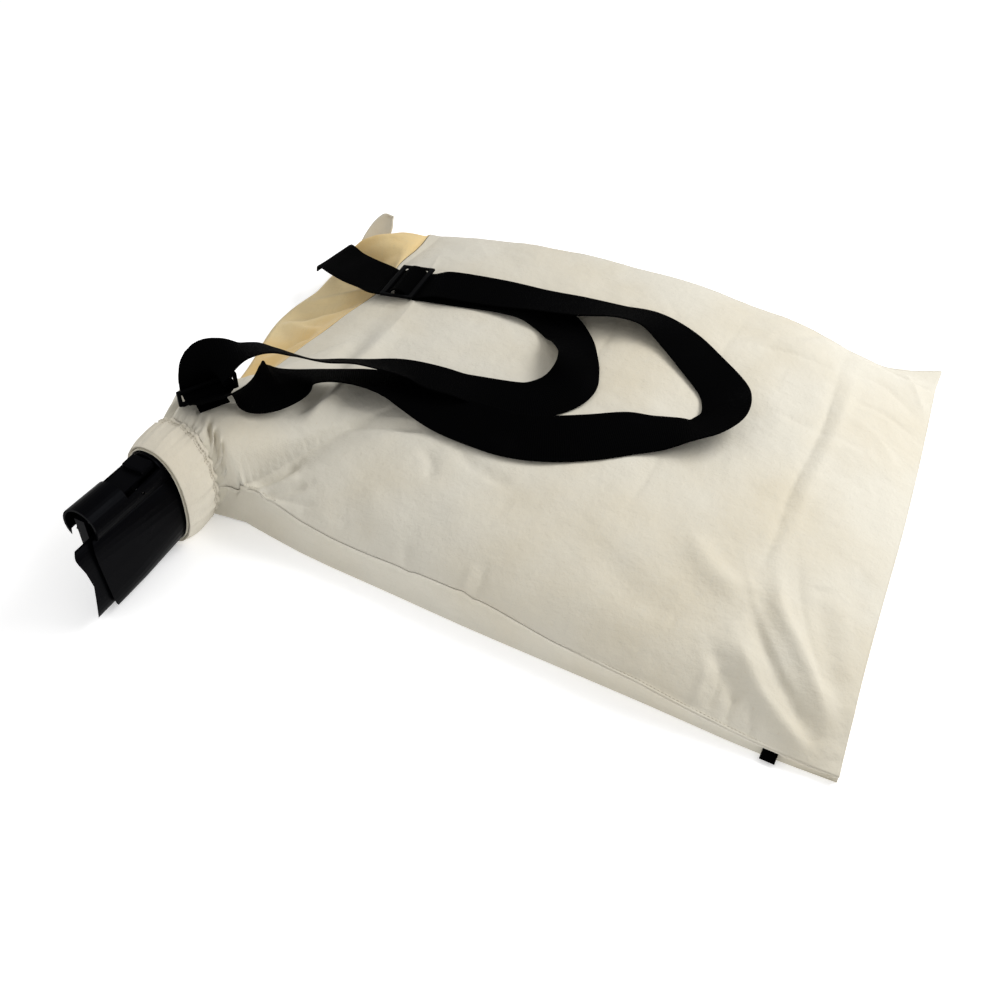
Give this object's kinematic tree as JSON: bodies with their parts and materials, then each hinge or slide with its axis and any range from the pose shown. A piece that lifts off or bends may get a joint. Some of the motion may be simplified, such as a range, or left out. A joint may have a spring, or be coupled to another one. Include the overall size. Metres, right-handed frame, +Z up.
{
  "type": "leaf blower vacuum bag",
  "caption": "Half-empty canvas debris bag of a leaf blower vacuum, with a black outlet adapter in its gathered neck and a webbing shoulder strap.",
  "frame": {"origin": "middle of the bag's footprint, on the surface that it lies on", "axes": "+X runs from the neck end of the bag to its zipped end, +Y from the side that the neck leaves to the far side, +Z up"},
  "size_m": [0.771, 0.7147, 0.1823],
  "materials": {
    "natural_cotton_canvas": "unbleached plain-weave cotton canvas, matte",
    "black_webbing": "black ribbed polypropylene webbing, matte",
    "black_moulded_plastic": "black injection-moulded plastic, satin with a fine grain",
    "black_glossy_nylon": "black moulded nylon buckle plastic",
    "cream_zipper_tape": "cream woven zipper tape and nylon coil",
    "nickel_plated_steel": "nickel plated, slightly dulled",
    "white_knitted_elastic": "white knitted elastic"
  },
  "bodies": {
    "bag": {"bag_top_panel": "natural_cotton_canvas", "bag_bottom_panel": "natural_cotton_canvas", "near_side_gusset": "natural_cotton_canvas", "far_side_gusset": "natural_cotton_canvas", "front_gusset": "natural_cotton_canvas", "end_panel_upper": "natural_cotton_canvas", "end_panel_lower": "natural_cotton_canvas", "corner_hang_tab": "natural_cotton_canvas", "seam_label_tab": "black_webbing", "neck_sleeve": "natural_cotton_canvas", "neck_elastic": "white_knitted_elastic", "neck_cuff_hem": "natural_cotton_canvas", "adapter_duct": "black_moulded_plastic", "inner_spigot": "black_moulded_plastic", "latch_pin": "nickel_plated_steel", "zipper_coil_upper": "cream_zipper_tape", "zipper_coil_lower": "cream_zipper_tape", "zipper_tape_upper": "cream_zipper_tape", "zipper_tape_lower": "cream_zipper_tape", "zipper_stop_near": "nickel_plated_steel", "zipper_stop_far": "nickel_plated_steel", "shoulder_strap": "black_webbing", "tri_glide": "black_glossy_nylon", "strap_ring": "black_glossy_nylon", "ring_tab": "black_webbing"},
    "latch": {"latch_lever": "black_moulded_plastic"},
    "slider": {"zipper_slider": "nickel_plated_steel"},
    "pull": {"zipper_pull": "nickel_plated_steel"}
  },
  "joints": [
    {"name": "latch_press", "type": "hinge", "parent": "bag", "child": "latch", "pos_m": [-0.27295, -0.27065, 0.1005], "axis": [-1, 0, 0], "range_deg": [0, 5], "stiffness_Nm_per_rad": 0.35},
    {"name": "slider_travel", "type": "slide", "parent": "bag", "child": "slider", "axis": [0.1074, -0.9942, 0], "range_m": [-0.05, 0.335]},
    {"name": "pull_swing", "type": "hinge", "parent": "slider", "child": "pull", "pos_m": [0.33935, 0.2159, 0.016], "axis": [0, 0, -1], "range_deg": [0, 170]}
  ]
}
